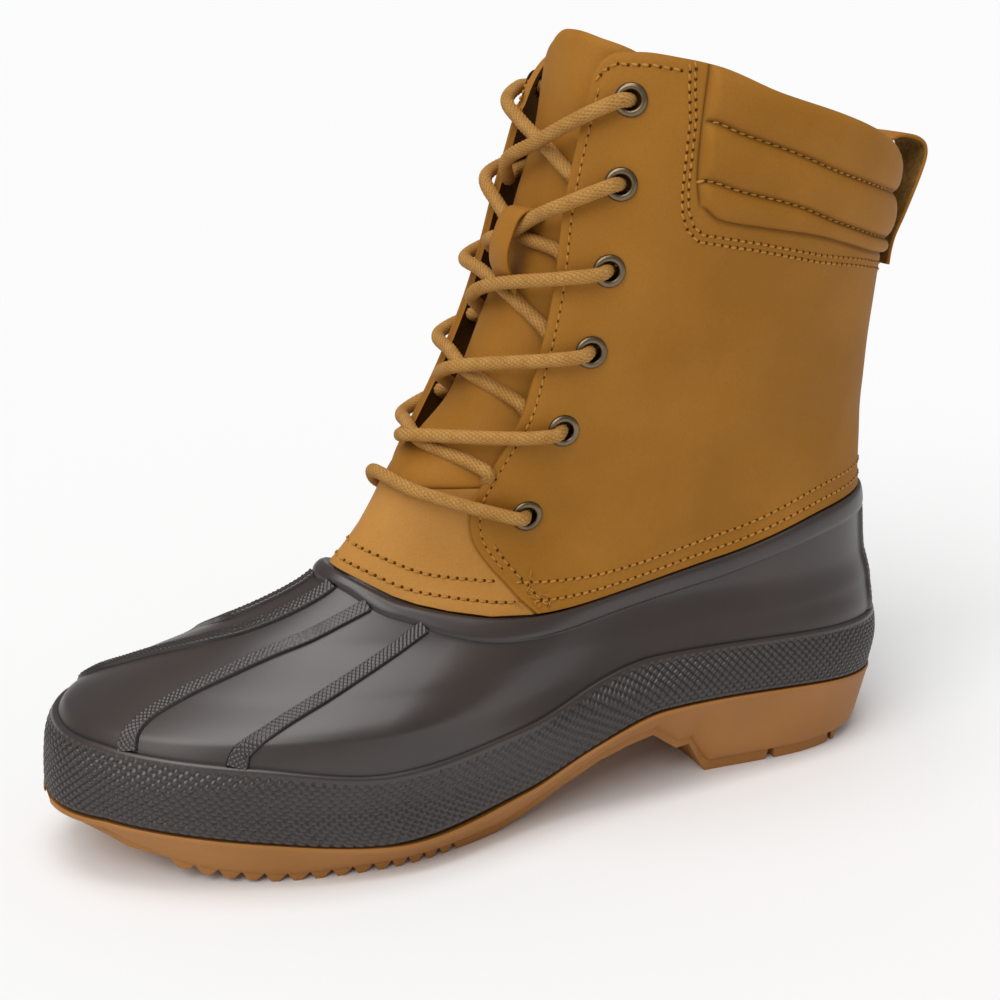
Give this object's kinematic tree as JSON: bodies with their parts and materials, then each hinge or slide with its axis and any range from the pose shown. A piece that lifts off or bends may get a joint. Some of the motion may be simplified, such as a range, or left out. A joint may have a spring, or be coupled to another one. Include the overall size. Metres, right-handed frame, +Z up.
{
  "type": "duck boot",
  "caption": "Lace-up duck boot with a rubber shell, a tan leather shaft with a padded collar and a gum rubber sole.",
  "frame": {"origin": "on the ground under the middle of the boot's box", "axes": "+X to the toe, +Y to the outer side of the left foot, +Z up"},
  "size_m": [0.3326, 0.1106, 0.2654],
  "materials": {
    "gum_rubber": "matt tan gum rubber",
    "dark_rubber": "satin dark brown moulded rubber",
    "tan_leather": "matt wheat nubuck",
    "footbed_fabric": "brown woven footbed cloth",
    "woven_lace": "round braided tan lace",
    "antique_brass": "antique brass, brushed"
  },
  "bodies": {
    "root": {"outsole": "gum_rubber", "shell": "dark_rubber", "upper": "tan_leather", "tongue": "tan_leather", "insole": "footbed_fabric", "lace_bar": "woven_lace", "lace_crossing_1": "woven_lace", "lace_crossing_2": "woven_lace", "lace_crossing_3": "woven_lace", "lace_crossing_4": "woven_lace", "lace_crossing_5": "woven_lace", "lace_keeper": "tan_leather", "pull_loop": "tan_leather", "backstay": "tan_leather", "eyelet_l_1": "antique_brass", "eyelet_l_2": "antique_brass", "eyelet_l_3": "antique_brass", "eyelet_l_4": "antique_brass", "eyelet_l_5": "antique_brass", "eyelet_l_6": "antique_brass", "eyelet_m_1": "antique_brass", "eyelet_m_2": "antique_brass", "eyelet_m_3": "antique_brass", "eyelet_m_4": "antique_brass", "eyelet_m_5": "antique_brass", "eyelet_m_6": "antique_brass"}
  },
  "joints": []
}
